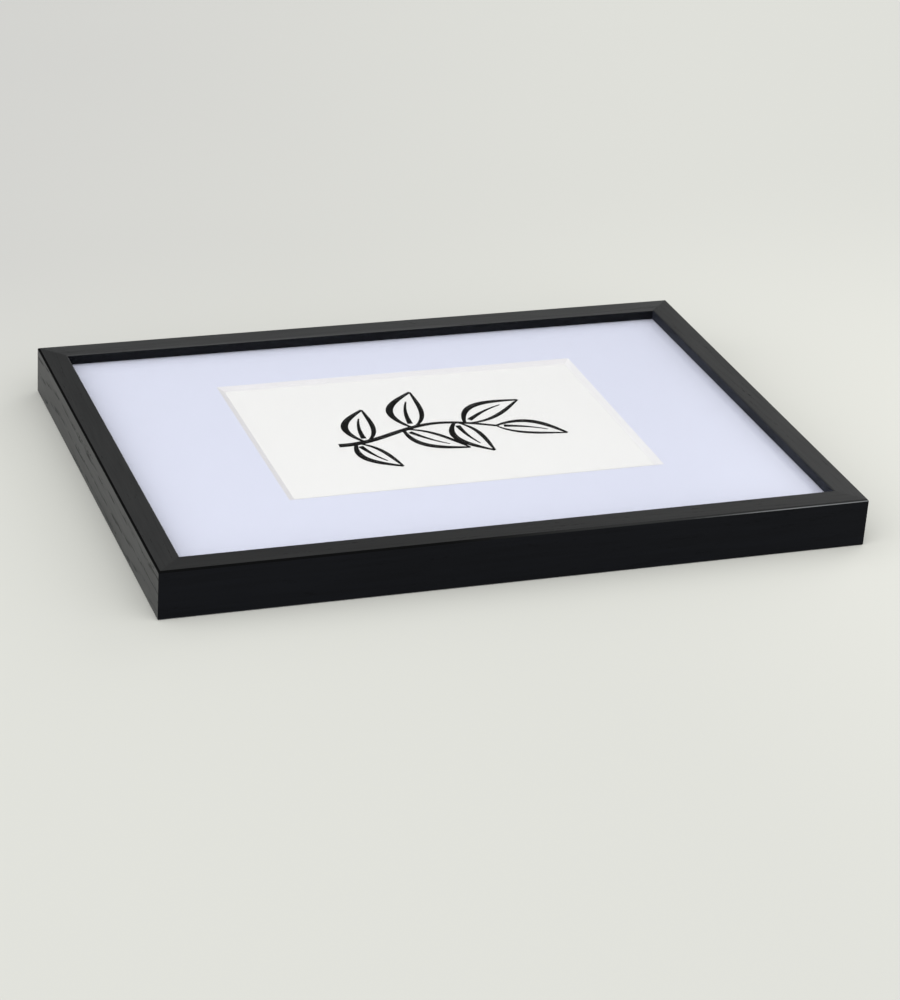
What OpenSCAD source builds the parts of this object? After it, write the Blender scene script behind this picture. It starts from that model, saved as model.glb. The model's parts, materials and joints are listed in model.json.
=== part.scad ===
/* [Pane and play] */
// Length of the glass pane and of the sheets behind it
pane_len = 297; // [210:1:420]
// Width of the glass pane and of the sheets behind it
pane_wid = 210; // [160:1:297]
// Play between the pane and the rabbet on each side
pane_play = 1; // [0.5:0.1:2]

/* [Moulding] */
// Height of the moulding from its back to its face
rail_h = 22; // [20:0.5:30]
// Thickness of the wall outside the rabbet
rail_wall = 7; // [6:0.5:14]
// Reach of the lip over the glass
lip_reach = 4.5; // [3:0.5:9]
// Thickness of the lip in front of the glass
lip_t = 4.6; // [3:0.1:6]
// Radius of the softened long edges
arris_r = 0.8; // [0.2:0.1:1.2]
// Depth of the groove for the turn buttons in the rabbet wall
groove_d = 3; // [2.6:0.1:3.5]
// Play of a button's plate above and below in the groove
groove_play = 0.3; // [0.2:0.1:0.6]

/* [Glass, mat and sheets] */
// Thickness of the glass
glass_t = 2; // [1.5:0.1:3]
// Thickness of the mat board
mat_t = 1.4; // [1:0.1:2.4]
// Length of the mat's window at the board's face
window_len = 171.5; // [80:0.5:190]
// Width of the mat's window at the board's face
window_wid = 117.5; // [60:0.5:130]
// Shift of the window from the middle along its length
window_dx = 1.5; // [-6:0.5:6]
// Shift of the window from the middle across its length
window_dy = 7.1; // [-9:0.1:9]
// Run of the window's sloping cut across the board
bevel_run = 3; // [0.6:0.1:4]
// Thickness of the insert sheet behind the mat
card_t = 0.3; // [0.2:0.1:1]
// Thickness of the back panel
back_t = 3; // [2.5:0.1:4]

/* [Corner nails] */
// Distance of a corner nail from the outer faces
nail_in = 2.2; // [1.6:0.1:2.6]
// Length of each leg of a corner nail
nail_leg = 6; // [4:0.5:9]
// Thickness of a corner nail's strip
nail_t = 0.5; // [0.3:0.1:0.8]
// Height of a corner nail
nail_h = 7; // [4:0.5:8]
// Depth of a corner nail's edge below the back of the moulding
nail_sink = 0.5; // [0.2:0.1:1]

/* [Turn buttons] */
// Thickness of a turn button's plate
btn_t = 1; // [0.8:0.1:1.4]
// Width of a turn button's tongue
btn_w = 8; // [6:0.5:10]
// Diameter of a turn button's round head
btn_head_d = 11; // [10:0.5:14]
// Distance of a button's pivot from the edge of the back panel
btn_inset = 9; // [8:0.5:14]
// Reach of a button's tip into the groove
btn_reach = 2.4; // [1.5:0.1:2.5]
// Distance of the long sides' buttons from the ends of the back panel
btn_from_end = 53.5; // [40:0.5:80]

/* [Rivets] */
// Radius of a rivet's shank
rivet_r = 1.5; // [1.2:0.1:2]
// Radius of a rivet's head and of its clenched end
rivet_head_r = 2.9; // [2.5:0.1:3.5]
// Thickness of a rivet's head
rivet_head_t = 0.8; // [0.5:0.1:1]
// Radius of the bore down the middle of a rivet
rivet_bore_r = 0.8; // [0.5:0.1:1]
// Thickness of a rivet's clenched end
clench_t = 0.5; // [0.3:0.1:0.8]

/* [Hangers] */
// Thickness of a hanger's strap
strap_t = 0.8; // [0.6:0.1:1.2]
// Radius of the wire of a hanger's ring
wire_r = 0.8; // [0.6:0.1:1]
// Bend radius at the ends of a ring's straight bar
ring_bend = 1.2; // [1:0.1:1.6]
// Height of a hanging ring's tip above the back of the moulding
ring_lift = 0.6; // [0.3:0.1:1.5]
// Distance from a ring's bar to the nearer rivet
strap_first = 5.5; // [5:0.5:8]
// Distance between the two rivets of a strap
strap_pitch = 7; // [6.5:0.5:12]
// Space between a swung ring and a swung turn button
hanger_gap = 6; // [1:0.5:12]

/* [Hidden] */
$fn = 48;

// Clearances and the overrun of a cut past a face
run_fit = 0.05;
slip = 0.1;
side_gap = 1.2;
over = 1;

// Plan sizes
rabbet_len = pane_len + 2 * pane_play;
rabbet_wid = pane_wid + 2 * pane_play;
face_w = rail_wall + lip_reach;
frame_len = rabbet_len + 2 * rail_wall;
frame_wid = rabbet_wid + 2 * rail_wall;

// Levels, from the back of the moulding at zero up to its face
glass_z = rail_h - lip_t;
mat_z = glass_z - glass_t;
card_z = mat_z - mat_t;
panel_z = card_z - card_t;
back_z = panel_z - back_t;
btn_z = back_z - slip - btn_t;
groove_lo = btn_z - groove_play;
groove_hi = btn_z + btn_t + groove_play;

// Rivets through the back panel
hole_r = rivet_r + run_fit;
clench_sink = clench_t + slip;
clench_hole_r = rivet_head_r + slip;

// Turn buttons: the tip is round about the pivot
btn_tip_r = btn_inset + pane_play + btn_reach;
btn_x = pane_len / 2 - btn_inset;
btn_y = pane_wid / 2 - btn_inset;
btn_off = pane_len / 2 - btn_from_end;
// Each row holds a button's place and the way that its tongue points
near_left = [-btn_off, -btn_y, -90];
near_right = [btn_off, -btn_y, -90];
far_left = [-btn_off, btn_y, 90];
far_right = [btn_off, btn_y, 90];
mid_left = [-btn_x, 0, 180];
mid_right = [btn_x, 0, 0];
buttons = [near_left, near_right, far_left, far_right, mid_left, mid_right];

// Hangers: the ring hangs from its bar and stops short of the table
loop_r = wire_r + run_fit + strap_t;
bar_z = back_z - loop_r;
ring_len = bar_z - wire_r - ring_lift;
ring_arc_r = ring_len - ring_bend;
bar_half = ring_arc_r - ring_bend;
strap_w = 2 * (ring_arc_r - wire_r - side_gap);
strap_root = wire_r / 2;
strap_end = strap_first + strap_pitch;
strap_rivets = [strap_first, strap_end];
hanger_in = btn_inset + btn_tip_r + ring_len + wire_r + hanger_gap;
// Each row holds a hanger's place and the way that its strap runs
portrait = [-(pane_len / 2 - hanger_in), 0, 0];
landscape = [0, pane_wid / 2 - hanger_in, -90];
hangers = [portrait, landscape];

// Sets the children at a row's place, turned its way, at a height
module at(row, z) {
    translate([row[0], row[1], z])
        rotate([0, 0, row[2]])
            children();
}

// Points of a quarter round, from one angle to the other
arris_steps = 4;
function quarter(x, y, from, to) = [
    for (i = [0:arris_steps])
        let (a = from + (to - from) * i / arris_steps)
            [x + arris_r * cos(a), y + arris_r * sin(a)]
];

// Section of the moulding: outwards face at zero, back down
profile = concat(
    [[rail_wall, 0]],
    quarter(arris_r, arris_r, 270, 180),
    quarter(arris_r, rail_h - arris_r, 180, 90),
    quarter(face_w - arris_r, rail_h - arris_r, 90, 0),
    [
        [face_w, glass_z],
        [rail_wall, glass_z],
        [rail_wall, groove_hi],
        [rail_wall - groove_d, groove_hi],
        [rail_wall - groove_d, groove_lo],
        [rail_wall, groove_lo]
    ]
);

// A straight length of moulding along X with its outer face at Y zero
module moulding(run) {
    rotate([90, 0, 90])
        linear_extrude(run, center = true)
            polygon(profile);
}

// Block whose ends are cut at 45 degrees for the mitres
module mitre_block(run) {
    half = run / 2;
    translate([0, 0, -over])
        linear_extrude(rail_h + 2 * over)
            polygon([
                [-half - over, -over],
                [half + over, -over],
                [half - face_w - over, face_w + over],
                [-half + face_w + over, face_w + over]
            ]);
}

// Plan of a corner nail, or of its slot, round the corner at zero
module nail_plan(grow) {
    at_leg = nail_in - grow;
    long = nail_leg + 2 * grow;
    thin = nail_t + 2 * grow;
    translate([at_leg, at_leg])
        square([long, thin]);
    translate([at_leg, at_leg])
        square([thin, long]);
}

module nail_slot() {
    translate([0, 0, -over])
        linear_extrude(over + nail_sink + nail_h + slip)
            nail_plan(run_fit);
}

module rail(run) {
    difference() {
        intersection() {
            moulding(run + 2 * over);
            mitre_block(run);
        }
        translate([-run / 2, 0, 0])
            nail_slot();
        translate([run / 2, 0, 0])
            mirror([1, 0, 0])
                nail_slot();
    }
}

module rail_near() {
    color("#2b2a2b")
        translate([0, -frame_wid / 2, 0])
            rail(frame_len);
}

module rail_far() {
    color("#2f2e2f")
        translate([0, frame_wid / 2, 0])
            rotate([0, 0, 180])
                rail(frame_len);
}

module rail_left() {
    color("#343334")
        translate([-frame_len / 2, 0, 0])
            rotate([0, 0, -90])
                rail(frame_wid);
}

module rail_right() {
    color("#302f30")
        translate([frame_len / 2, 0, 0])
            rotate([0, 0, 90])
                rail(frame_wid);
}

module corner_nails() {
    color("#b9bcc0")
        for (sx = [0, 1], sy = [0, 1])
            mirror([sx, 0, 0])
                mirror([0, sy, 0])
                    translate([-frame_len / 2, -frame_wid / 2, nail_sink])
                        linear_extrude(nail_h)
                            nail_plan(0);
}

// A sheet of the pane's size with its lower face at a level
module sheet(z, thick) {
    translate([-pane_len / 2, -pane_wid / 2, z])
        cube([pane_len, pane_wid, thick]);
}

module glass_pane() {
    color("#dfe8ea", 0.35)
        sheet(mat_z, glass_t);
}

// One pair of the window's sloping sides, as a long wedge
module window_wedge(size, span) {
    slope = bevel_run / mat_t;
    low = size / 2 - bevel_run - over * slope;
    high = size / 2 + over * slope;
    rotate([90, 0, 0])
        linear_extrude(span, center = true)
            polygon([
                [-low, -over],
                [low, -over],
                [high, mat_t + over],
                [-high, mat_t + over]
            ]);
}

module mat_board() {
    color("#dee1f0")
        difference() {
            sheet(card_z, mat_t);
            translate([window_dx, window_dy, card_z])
                intersection() {
                    window_wedge(window_len, pane_wid);
                    rotate([0, 0, 90])
                        window_wedge(window_wid, pane_len);
                }
        }
}

module insert_sheet() {
    color("#f2f2f0")
        sheet(panel_z, card_t);
}

// Rivet hole with the sunk seat of the clenched end in the panel's front
module panel_hole() {
    translate([0, 0, -over])
        cylinder(r = hole_r, h = back_t + 2 * over);
    translate([0, 0, back_t - clench_sink])
        cylinder(r = clench_hole_r, h = clench_sink + over);
}

module back_panel() {
    color("#8a6a4c")
        difference() {
            sheet(back_z, back_t);
            for (row = buttons)
                at(row, back_z)
                    panel_hole();
            for (row = hangers, x = strap_rivets)
                at(row, back_z)
                    translate([x, 0, 0])
                        panel_hole();
        }
}

// Plate with a round head at the pivot and a tongue along X
module turn_button() {
    linear_extrude(btn_t)
        difference() {
            union() {
                circle(d = btn_head_d);
                intersection() {
                    circle(r = btn_tip_r, $fn = 96);
                    translate([0, -btn_w / 2])
                        square([btn_tip_r + over, btn_w]);
                }
            }
            circle(r = hole_r);
        }
}

module placed_button(row) {
    color("#c3c6c9")
        at(row, btn_z)
            turn_button();
}

module turn_button_near_left() {
    placed_button(near_left);
}

module turn_button_near_right() {
    placed_button(near_right);
}

module turn_button_far_left() {
    placed_button(far_left);
}

module turn_button_far_right() {
    placed_button(far_right);
}

module turn_button_left() {
    placed_button(mid_left);
}

module turn_button_right() {
    placed_button(mid_right);
}

// Hollow rivet with its head down at zero, holding a grip of this thickness
module rivet(grip) {
    seat = rivet_head_t + grip - clench_sink;
    difference() {
        union() {
            cylinder(r = rivet_head_r, h = rivet_head_t);
            cylinder(r = rivet_r, h = seat + clench_t);
            translate([0, 0, seat])
                cylinder(r = rivet_head_r, h = clench_t);
        }
        translate([0, 0, -over])
            cylinder(r = rivet_bore_r, h = seat + clench_t + 2 * over);
    }
}

module button_rivets() {
    grip = back_t + slip + btn_t + slip;
    color("#aeb1b4")
        for (row = buttons)
            at(row, panel_z - grip - rivet_head_t)
                rivet(grip);
}

module hanger_rivets() {
    grip = back_t + strap_t;
    color("#aeb1b4")
        for (row = hangers, x = strap_rivets)
            at(row, panel_z - grip - rivet_head_t)
                translate([x, 0, 0])
                    rivet(grip);
}

// Strap along X, curled at its end round a bar along Y at zero
module hanger_strap() {
    difference() {
        union() {
            rotate([90, 0, 0])
                cylinder(r = loop_r, h = strap_w, center = true);
            translate([strap_root, -strap_w / 2, loop_r - strap_t])
                cube([strap_end - strap_root, strap_w, strap_t]);
            translate([strap_end, 0, loop_r - strap_t])
                cylinder(d = strap_w, h = strap_t);
        }
        rotate([90, 0, 0])
            cylinder(r = wire_r + run_fit, h = strap_w + 2 * over, center = true);
        for (x = strap_rivets)
            translate([x, 0, loop_r - strap_t - over])
                cylinder(r = hole_r, h = strap_t + 2 * over);
    }
}

module hanger_strap_portrait() {
    color("#c3c6c9")
        at(portrait, bar_z)
            hanger_strap();
}

module hanger_strap_landscape() {
    color("#c3c6c9")
        at(landscape, bar_z)
            hanger_strap();
}

// Bent wire in the plane across X, over a part of a turn
module wire_bend(bend, from, turn) {
    rotate([90, 0, 90])
        rotate([0, 0, from])
            rotate_extrude(angle = turn)
                translate([bend, 0])
                    circle(r = wire_r);
}

// Ring shaped like a D: a bar along Y at zero, its round side down
module hanger_ring() {
    rotate([90, 0, 0])
        cylinder(r = wire_r, h = 2 * bar_half, center = true);
    translate([0, bar_half, -ring_bend])
        wire_bend(ring_bend, 0, 90);
    translate([0, -bar_half, -ring_bend])
        wire_bend(ring_bend, 90, 90);
    translate([0, 0, -ring_bend])
        wire_bend(ring_arc_r, 180, 180);
}

module hanger_ring_portrait() {
    color("#d4d6d8")
        at(portrait, bar_z)
            hanger_ring();
}

module hanger_ring_landscape() {
    color("#d4d6d8")
        at(landscape, bar_z)
            hanger_ring();
}

rail_near();
rail_far();
rail_left();
rail_right();
corner_nails();
glass_pane();
mat_board();
insert_sheet();
back_panel();
turn_button_near_left();
turn_button_near_right();
turn_button_far_left();
turn_button_far_right();
turn_button_left();
turn_button_right();
button_rivets();
hanger_strap_portrait();
hanger_strap_landscape();
hanger_ring_portrait();
hanger_ring_landscape();
hanger_rivets();
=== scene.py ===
import json
import math
from contextlib import contextmanager

import bmesh
import bpy
from mathutils import Matrix, Vector


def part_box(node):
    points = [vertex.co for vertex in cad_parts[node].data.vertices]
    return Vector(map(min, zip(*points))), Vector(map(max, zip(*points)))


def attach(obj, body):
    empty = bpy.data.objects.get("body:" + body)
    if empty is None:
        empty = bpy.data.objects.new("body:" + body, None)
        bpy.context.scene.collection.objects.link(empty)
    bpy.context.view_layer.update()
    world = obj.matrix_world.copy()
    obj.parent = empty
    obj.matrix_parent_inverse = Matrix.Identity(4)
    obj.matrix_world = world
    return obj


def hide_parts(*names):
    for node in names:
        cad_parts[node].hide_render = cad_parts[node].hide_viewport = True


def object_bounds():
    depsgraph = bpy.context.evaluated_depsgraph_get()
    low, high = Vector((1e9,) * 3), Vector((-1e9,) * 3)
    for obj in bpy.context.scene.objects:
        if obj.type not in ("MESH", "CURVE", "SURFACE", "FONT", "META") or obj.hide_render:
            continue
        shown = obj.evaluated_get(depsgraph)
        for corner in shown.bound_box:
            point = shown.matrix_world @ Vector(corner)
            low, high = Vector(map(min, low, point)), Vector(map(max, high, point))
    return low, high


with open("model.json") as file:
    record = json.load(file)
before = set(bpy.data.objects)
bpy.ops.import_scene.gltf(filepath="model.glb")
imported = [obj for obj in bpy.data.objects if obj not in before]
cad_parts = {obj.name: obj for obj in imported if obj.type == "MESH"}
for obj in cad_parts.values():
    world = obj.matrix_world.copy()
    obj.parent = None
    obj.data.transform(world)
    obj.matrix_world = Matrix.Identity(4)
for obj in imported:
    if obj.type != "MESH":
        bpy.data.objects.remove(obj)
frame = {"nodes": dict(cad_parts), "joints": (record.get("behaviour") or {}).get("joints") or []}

cad_low, cad_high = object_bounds()

# Units and tolerances
MM = 0.001
TINY = 0.01 * MM
RIGHT_ANGLE = math.pi / 2
FULL_TURN = 2 * math.pi

# Sizes that the frame gives
FRAME_LEN = cad_high.x - cad_low.x
FRAME_WID = cad_high.y - cad_low.y
RAIL_H = cad_high.z
near_low, near_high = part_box("rail_near")
FACE_W = near_high.y - near_low.y
glass_low, glass_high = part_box("glass_pane")
mat_low, mat_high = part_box("mat_board")
plate_low, plate_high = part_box("turn_button_right")
nails_low, nails_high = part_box("corner_nails")

# Moulding
RABBET_PLAY = 1 * MM
WALL = glass_low.x - cad_low.x - RABBET_PLAY
LIP_REACH = FACE_W - WALL
ARRIS = 0.8 * MM
ARRIS_STEPS = 5
GROOVE_D = 3 * MM
GROOVE_PLAY = 0.3 * MM
SPARE = 4 * MM

# Corner nails
NAIL_IN = nails_low.x - cad_low.x
NAIL_LEG = 6 * MM
NAIL_T = 0.5 * MM
NAIL_PLAY = 0.05 * MM
NAIL_EDGE = 0.12 * MM

# Glass, mat and back panel
GLASS_ARRIS = 0.3 * MM
GLASS_FILM = 0.03 * MM
WINDOW_LEN = 171.5 * MM
WINDOW_WID = 117.5 * MM
WINDOW_DX = 1.5 * MM
WINDOW_DY = 7.1 * MM
BEVEL_RUN = 3 * MM
KNIFE_SPARE = 0.5 * MM
MAT_EDGE = 0.06 * MM
PANEL_EDGE = 0.12 * MM

# Rivets
RIVET_R = 1.5 * MM
RIVET_HEAD_R = 2.9 * MM
RIVET_HEAD_T = 0.8 * MM
RIVET_BORE_R = 0.8 * MM
RIVET_RIM = 0.42 * MM
RIVET_MOUTH = 0.3 * MM
CLENCH_T = 0.5 * MM
CLENCH_RIM = 0.18 * MM
RIVET_STEPS = 40
HOLE_PLAY = 0.05 * MM

# Turn buttons
BTN_W = 8 * MM
BTN_HEAD_R = 5.5 * MM
BTN_EDGE = 0.16 * MM
BTN_SIDES = 128

# Hangers
WIRE_R = 0.8 * MM
WIRE_SIDES = 20
RING_BEND = 1.2 * MM
STRAP_T = 0.8 * MM
STRAP_EDGE = 0.12 * MM
STRAP_FIRST = 5.5 * MM
STRAP_PITCH = 7 * MM
CURL_TURN = math.radians(288)
CURL_STEPS = 28
END_STEPS = 16


# Modelling by hand

def deselect():
    bpy.ops.object.select_all(action="DESELECT")


def choose(piece):
    """Makes a piece the only selected one, and the active one."""
    deselect()
    piece.select_set(True)
    bpy.context.view_layer.objects.active = piece


@contextmanager
def editing(piece):
    """Opens a piece in edit mode with all of it selected, and closes it at the end."""
    choose(piece)
    bpy.ops.object.mode_set(mode="EDIT")
    bpy.ops.mesh.select_all(action="SELECT")
    yield
    bpy.ops.object.mode_set(mode="OBJECT")


def pick(piece, kind, test):
    """Selects the faces, edges or corners that pass a test, and nothing else."""
    bpy.ops.mesh.select_mode(type=kind)
    bpy.ops.mesh.select_all(action="DESELECT")
    shape = bmesh.from_edit_mesh(piece.data)
    parts = {"FACE": shape.faces, "EDGE": shape.edges, "VERT": shape.verts}[kind]
    for part in parts:
        if test(part):
            part.select_set(True)
    shape.select_flush_mode()
    bmesh.update_edit_mesh(piece.data)


def middle(part):
    """The middle of a face or an edge."""
    return sum((v.co for v in part.verts), Vector()) / len(part.verts)


def close(a, b):
    return abs(a - b) < TINY


def settle(piece, name):
    """Names a new piece and moves its place, turn and size into its mesh."""
    piece.name = name
    piece.data.name = name
    choose(piece)
    bpy.ops.object.transform_apply(location=True, rotation=True, scale=True)
    return piece


def block(name, low, high):
    """A block between two corners, to be shaped further."""
    deselect()
    low, high = Vector(low), Vector(high)
    bpy.ops.mesh.primitive_cube_add(size=1, location=(low + high) / 2, scale=high - low)
    return settle(bpy.context.active_object, name)


def disc(name, radius, low, high, sides):
    """A round plate between two levels, to be shaped further."""
    deselect()
    bpy.ops.mesh.primitive_cylinder_add(
        vertices=sides, radius=radius, depth=high - low, location=(0, 0, (low + high) / 2)
    )
    return settle(bpy.context.active_object, name)


def sheet(name, place, size_x, size_y):
    """A flat square sheet of one face, to be shaped further."""
    deselect()
    bpy.ops.mesh.primitive_plane_add(size=1, location=place)
    piece = bpy.context.active_object
    piece.scale = (size_x, size_y, 1)
    return settle(piece, name)


def push(x, y, z):
    """Extrudes what is selected by an offset."""
    bpy.ops.mesh.extrude_region_move(TRANSFORM_OT_translate={"value": (x, y, z)})


def score(place, normal):
    """Cuts edges across the whole piece, in a plane."""
    bpy.ops.mesh.select_all(action="SELECT")
    bpy.ops.mesh.bisect(plane_co=place, plane_no=normal)


def slice_off(place, normal):
    """Cuts the piece in a plane, drops what lies on the normal's side and closes the cut."""
    bpy.ops.mesh.select_all(action="SELECT")
    bpy.ops.mesh.bisect(plane_co=place, plane_no=normal, use_fill=True, clear_outer=True)


def tidy_faces():
    """Merges doubles and flat neighbours, and turns all faces outwards."""
    bpy.ops.mesh.select_all(action="SELECT")
    bpy.ops.mesh.remove_doubles(threshold=TINY / 10)
    bpy.ops.mesh.dissolve_limited(angle_limit=math.radians(0.2))
    bpy.ops.mesh.select_all(action="SELECT")
    bpy.ops.mesh.normals_make_consistent(inside=False)


def apply_modifier(piece, kind, **settings):
    """Adds a modifier with its settings and applies it."""
    choose(piece)
    modifier = piece.modifiers.new(kind.lower(), kind)
    for name, value in settings.items():
        setattr(modifier, name, value)
    bpy.ops.object.modifier_apply(modifier=modifier.name)


def combine(piece, tool, operation):
    """Joins, cuts or crosses a piece with a tool, which is used up."""
    apply_modifier(piece, "BOOLEAN", object=tool, operation=operation, solver="EXACT")
    bpy.data.objects.remove(tool)


def soften(piece, width, segments=2):
    """Rounds the sharp edges and shades the piece smooth over them."""
    apply_modifier(
        piece, "BEVEL", width=width, segments=segments,
        limit_method="ANGLE", angle_limit=math.radians(20),
    )
    smooth(piece)


def smooth(piece):
    """Shades a piece smooth, with its flat faces kept flat."""
    choose(piece)
    bpy.ops.object.shade_smooth_by_angle(angle=math.radians(35))
    apply_modifier(piece, "WEIGHTED_NORMAL", keep_sharp=True)


def twin(piece, name):
    """A copy of a piece with its own mesh."""
    other = bpy.data.objects.new(name, piece.data.copy())
    other.data.name = name
    bpy.context.scene.collection.objects.link(other)
    return other


def placed(piece, place, turn):
    """Turns a piece about Z, moves it, and settles it there."""
    piece.rotation_euler = (0, 0, turn)
    piece.location = place
    return settle(piece, piece.name)


def stand_for(piece, node, body, slot, *finishes):
    """Gives a piece its finishes and lets it stand for a CAD node on a body."""
    piece.data.materials.clear()
    for finish in finishes:
        piece.data.materials.append(finish)
    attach(piece, body)
    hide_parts(node)


def refinish(node, finish):
    """Gives a CAD node, whose shape stays, its own finish."""
    slots = frame["nodes"][node].data.materials
    slots.clear()
    slots.append(finish)


# Shader values and nodes

class Signal:
    """One output of a shader node, which adds and multiplies as a number does."""

    def __init__(self, nodes, socket):
        self.nodes = nodes
        self.socket = socket

    def maths(self, operation, *values):
        return self.nodes.node("Math", {"operation": operation}, values)

    def __add__(self, other):
        return self.maths("ADD", self, other)

    def __radd__(self, other):
        return self.maths("ADD", other, self)

    def __sub__(self, other):
        return self.maths("SUBTRACT", self, other)

    def __rsub__(self, other):
        return self.maths("SUBTRACT", other, self)

    def __mul__(self, other):
        return self.maths("MULTIPLY", self, other)

    def __rmul__(self, other):
        return self.maths("MULTIPLY", other, self)

    def __truediv__(self, other):
        return self.maths("DIVIDE", self, other)

    def __gt__(self, other):
        return self.maths("GREATER_THAN", self, other)


class Nodes:
    """Makes the nodes of one material or world."""

    def __init__(self, tree):
        self.tree = tree
        self.tree.nodes.clear()

    def node(self, kind, settings=None, inputs=(), output=0):
        """Makes a node: its type, its settings, the values or links of its sockets, and its output."""
        made = self.tree.nodes.new("ShaderNode" + kind)
        for name, value in (settings or {}).items():
            setattr(made, name, value)
        pairs = inputs.items() if isinstance(inputs, dict) else enumerate(inputs)
        for key, value in pairs:
            socket = self.socket(made.inputs, key)
            if isinstance(value, Signal):
                self.tree.links.new(value.socket, socket)
            else:
                socket.default_value = value
        if not made.outputs:
            return made
        return Signal(self, self.socket(made.outputs, output))

    @staticmethod
    def socket(sockets, key):
        """A socket by its number, its identifier or its name."""
        if isinstance(key, int):
            return sockets[key]
        for socket in sockets:
            if socket.identifier == key:
                return socket
        return sockets[key]

    def ramp(self, value, low, high, to_low=0.0, to_high=1.0):
        """A smooth step of a value between two levels."""
        ends = {"From Min": low, "From Max": high, "To Min": to_low, "To Max": to_high}
        settings = {"interpolation_type": "SMOOTHSTEP"}
        return self.node("MapRange", settings, {"Value": value, **ends}, "Result")

    def blend(self, share, first, second):
        """A colour between two colours."""
        inputs = {"Factor_Float": share, "A_Color": first, "B_Color": second}
        return self.node("Mix", {"data_type": "RGBA"}, inputs, "Result_Color")

    def scaled(self, vector, x, y, z):
        """A vector with each part multiplied."""
        return self.node("VectorMath", {"operation": "MULTIPLY"}, (vector, (x, y, z)))

    def noise(self, place, detail=2.0, rough=0.5):
        """Smooth noise between 0 and 1, one wave to a unit."""
        inputs = {"Vector": place, "Scale": 1.0, "Detail": detail, "Roughness": rough}
        return self.node("TexNoise", None, inputs)


def new_material(name):
    material = bpy.data.materials.new(name)
    material.use_nodes = True
    return material, Nodes(material.node_tree)


def colour(red, green, blue):
    """A linear colour with full alpha."""
    return (red, green, blue, 1.0)


def finish_surface(nodes, shader):
    nodes.node("OutputMaterial", None, {"Surface": shader})


def millimetres(nodes, turn=0.0, shift=(0.0, 0.0, 0.0), tilt=0.0):
    """Object coordinates in millimetres, turned about Z, tilted a little and shifted."""
    place = nodes.node("TexCoord", output="Object")
    turned = nodes.node("Mapping", None, {
        "Vector": place,
        "Rotation": (0.0, 0.0, -turn),
        "Scale": (1 / MM, 1 / MM, 1 / MM),
    })
    return nodes.node("Mapping", None, {
        "Vector": turned,
        "Location": shift,
        "Rotation": (0.0, tilt, tilt),
    })


def stained_oak(name, turn, shift, tilt, dark, light, shine, rough, grain):
    """Oak under black stain: ring lines and pores, as open as the grain says, and fine fibres."""
    material, nodes = new_material(name)
    place = millimetres(nodes, turn, shift, tilt)
    heart = (0.0, 38.0, -52.0)
    ring = 2.4
    across = nodes.scaled(place, 0.0, 1.0, 1.0)
    radius = nodes.node("VectorMath", {"operation": "DISTANCE"}, (across, heart), "Value")
    sway = nodes.noise(nodes.scaled(place, 1 / 120, 1 / 30, 1 / 30), 1.0)
    phase = (radius + 9.0 * sway) / ring
    year = phase.maths("FRACT", phase)
    early = nodes.ramp(year, 0.0, 0.1) * nodes.ramp(year, 0.32, 0.62, 1.0, 0.0)

    line = nodes.ramp(year, 0.0, 0.08) * nodes.ramp(year, 0.14, 0.34, 1.0, 0.0)
    broken = nodes.noise(nodes.scaled(place, 1 / 13, 1 / 1.1, 1 / 1.1), 2.0)
    line = 0.75 * line * nodes.ramp(broken, 0.44, 0.62)

    cells = {"Vector": nodes.scaled(place, 1 / 4, 1 / 0.45, 1 / 0.45), "Scale": 1.0}
    distance = nodes.node("TexVoronoi", {"feature": "F1"}, cells, "Distance")
    patchy = nodes.noise(nodes.scaled(place, 1 / 16, 1 / 3, 1 / 3), 1.0)
    pore_size = 0.02 + 0.38 * early * nodes.ramp(patchy, 0.46, 0.66)
    pores = nodes.ramp(distance - pore_size, -0.12, 0.06, 1.0, 0.0)
    grooves = line.maths("MAXIMUM", grain * line, (0.5 + 0.4 * grain) * pores)

    fibre = nodes.noise(nodes.scaled(place, 1 / 9, 1 / 0.3, 1 / 0.3), 3.0, 0.6)
    streak = nodes.noise(nodes.scaled(place, 1 / 45, 1 / 1.3, 1 / 1.3), 2.0)
    cloud = nodes.noise(nodes.scaled(place, 1 / 60, 1 / 12, 1 / 12), 2.0)
    tone = nodes.ramp(0.45 * streak + 0.25 * fibre + 0.3 * cloud, 0.34, 0.66)
    stain = nodes.blend(tone, colour(*dark), colour(*light))
    stain = nodes.blend(grooves * 0.9, stain, colour(*(0.2 * part for part in dark)))

    height = 0.3 * fibre - 1.0 * grooves
    depth = 0.08 + 0.3 * grain
    bump = nodes.node("Bump", None, {"Strength": depth, "Distance": 0.12 * MM, "Height": height})
    matt = rough + 0.4 * grooves + 0.06 * (fibre - 0.5)
    shader = nodes.node("BsdfPrincipled", None, {
        "Base Color": stain,
        "Roughness": matt,
        "Specular IOR Level": shine,
        "Normal": bump,
    })
    finish_surface(nodes, shader)
    return material


def clear_glass():
    """Clear float glass, which lets the lamps through to what lies behind it."""
    material, nodes = new_material("float_glass")
    glass = nodes.node("BsdfPrincipled", None, {
        "Base Color": colour(0.995, 1.0, 0.998),
        "Roughness": 0.0,
        "IOR": 1.5,
        "Transmission Weight": 1.0,
    })
    shadow = nodes.node("LightPath", output="Is Shadow Ray")
    diffuse = nodes.node("LightPath", output="Is Diffuse Ray")
    open_light = nodes.node("BsdfTransparent", None, {"Color": colour(1.0, 1.0, 1.0)})
    share = shadow.maths("MAXIMUM", shadow, diffuse)
    finish_surface(nodes, nodes.node("MixShader", None, (share, glass, open_light)))
    return material


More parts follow.
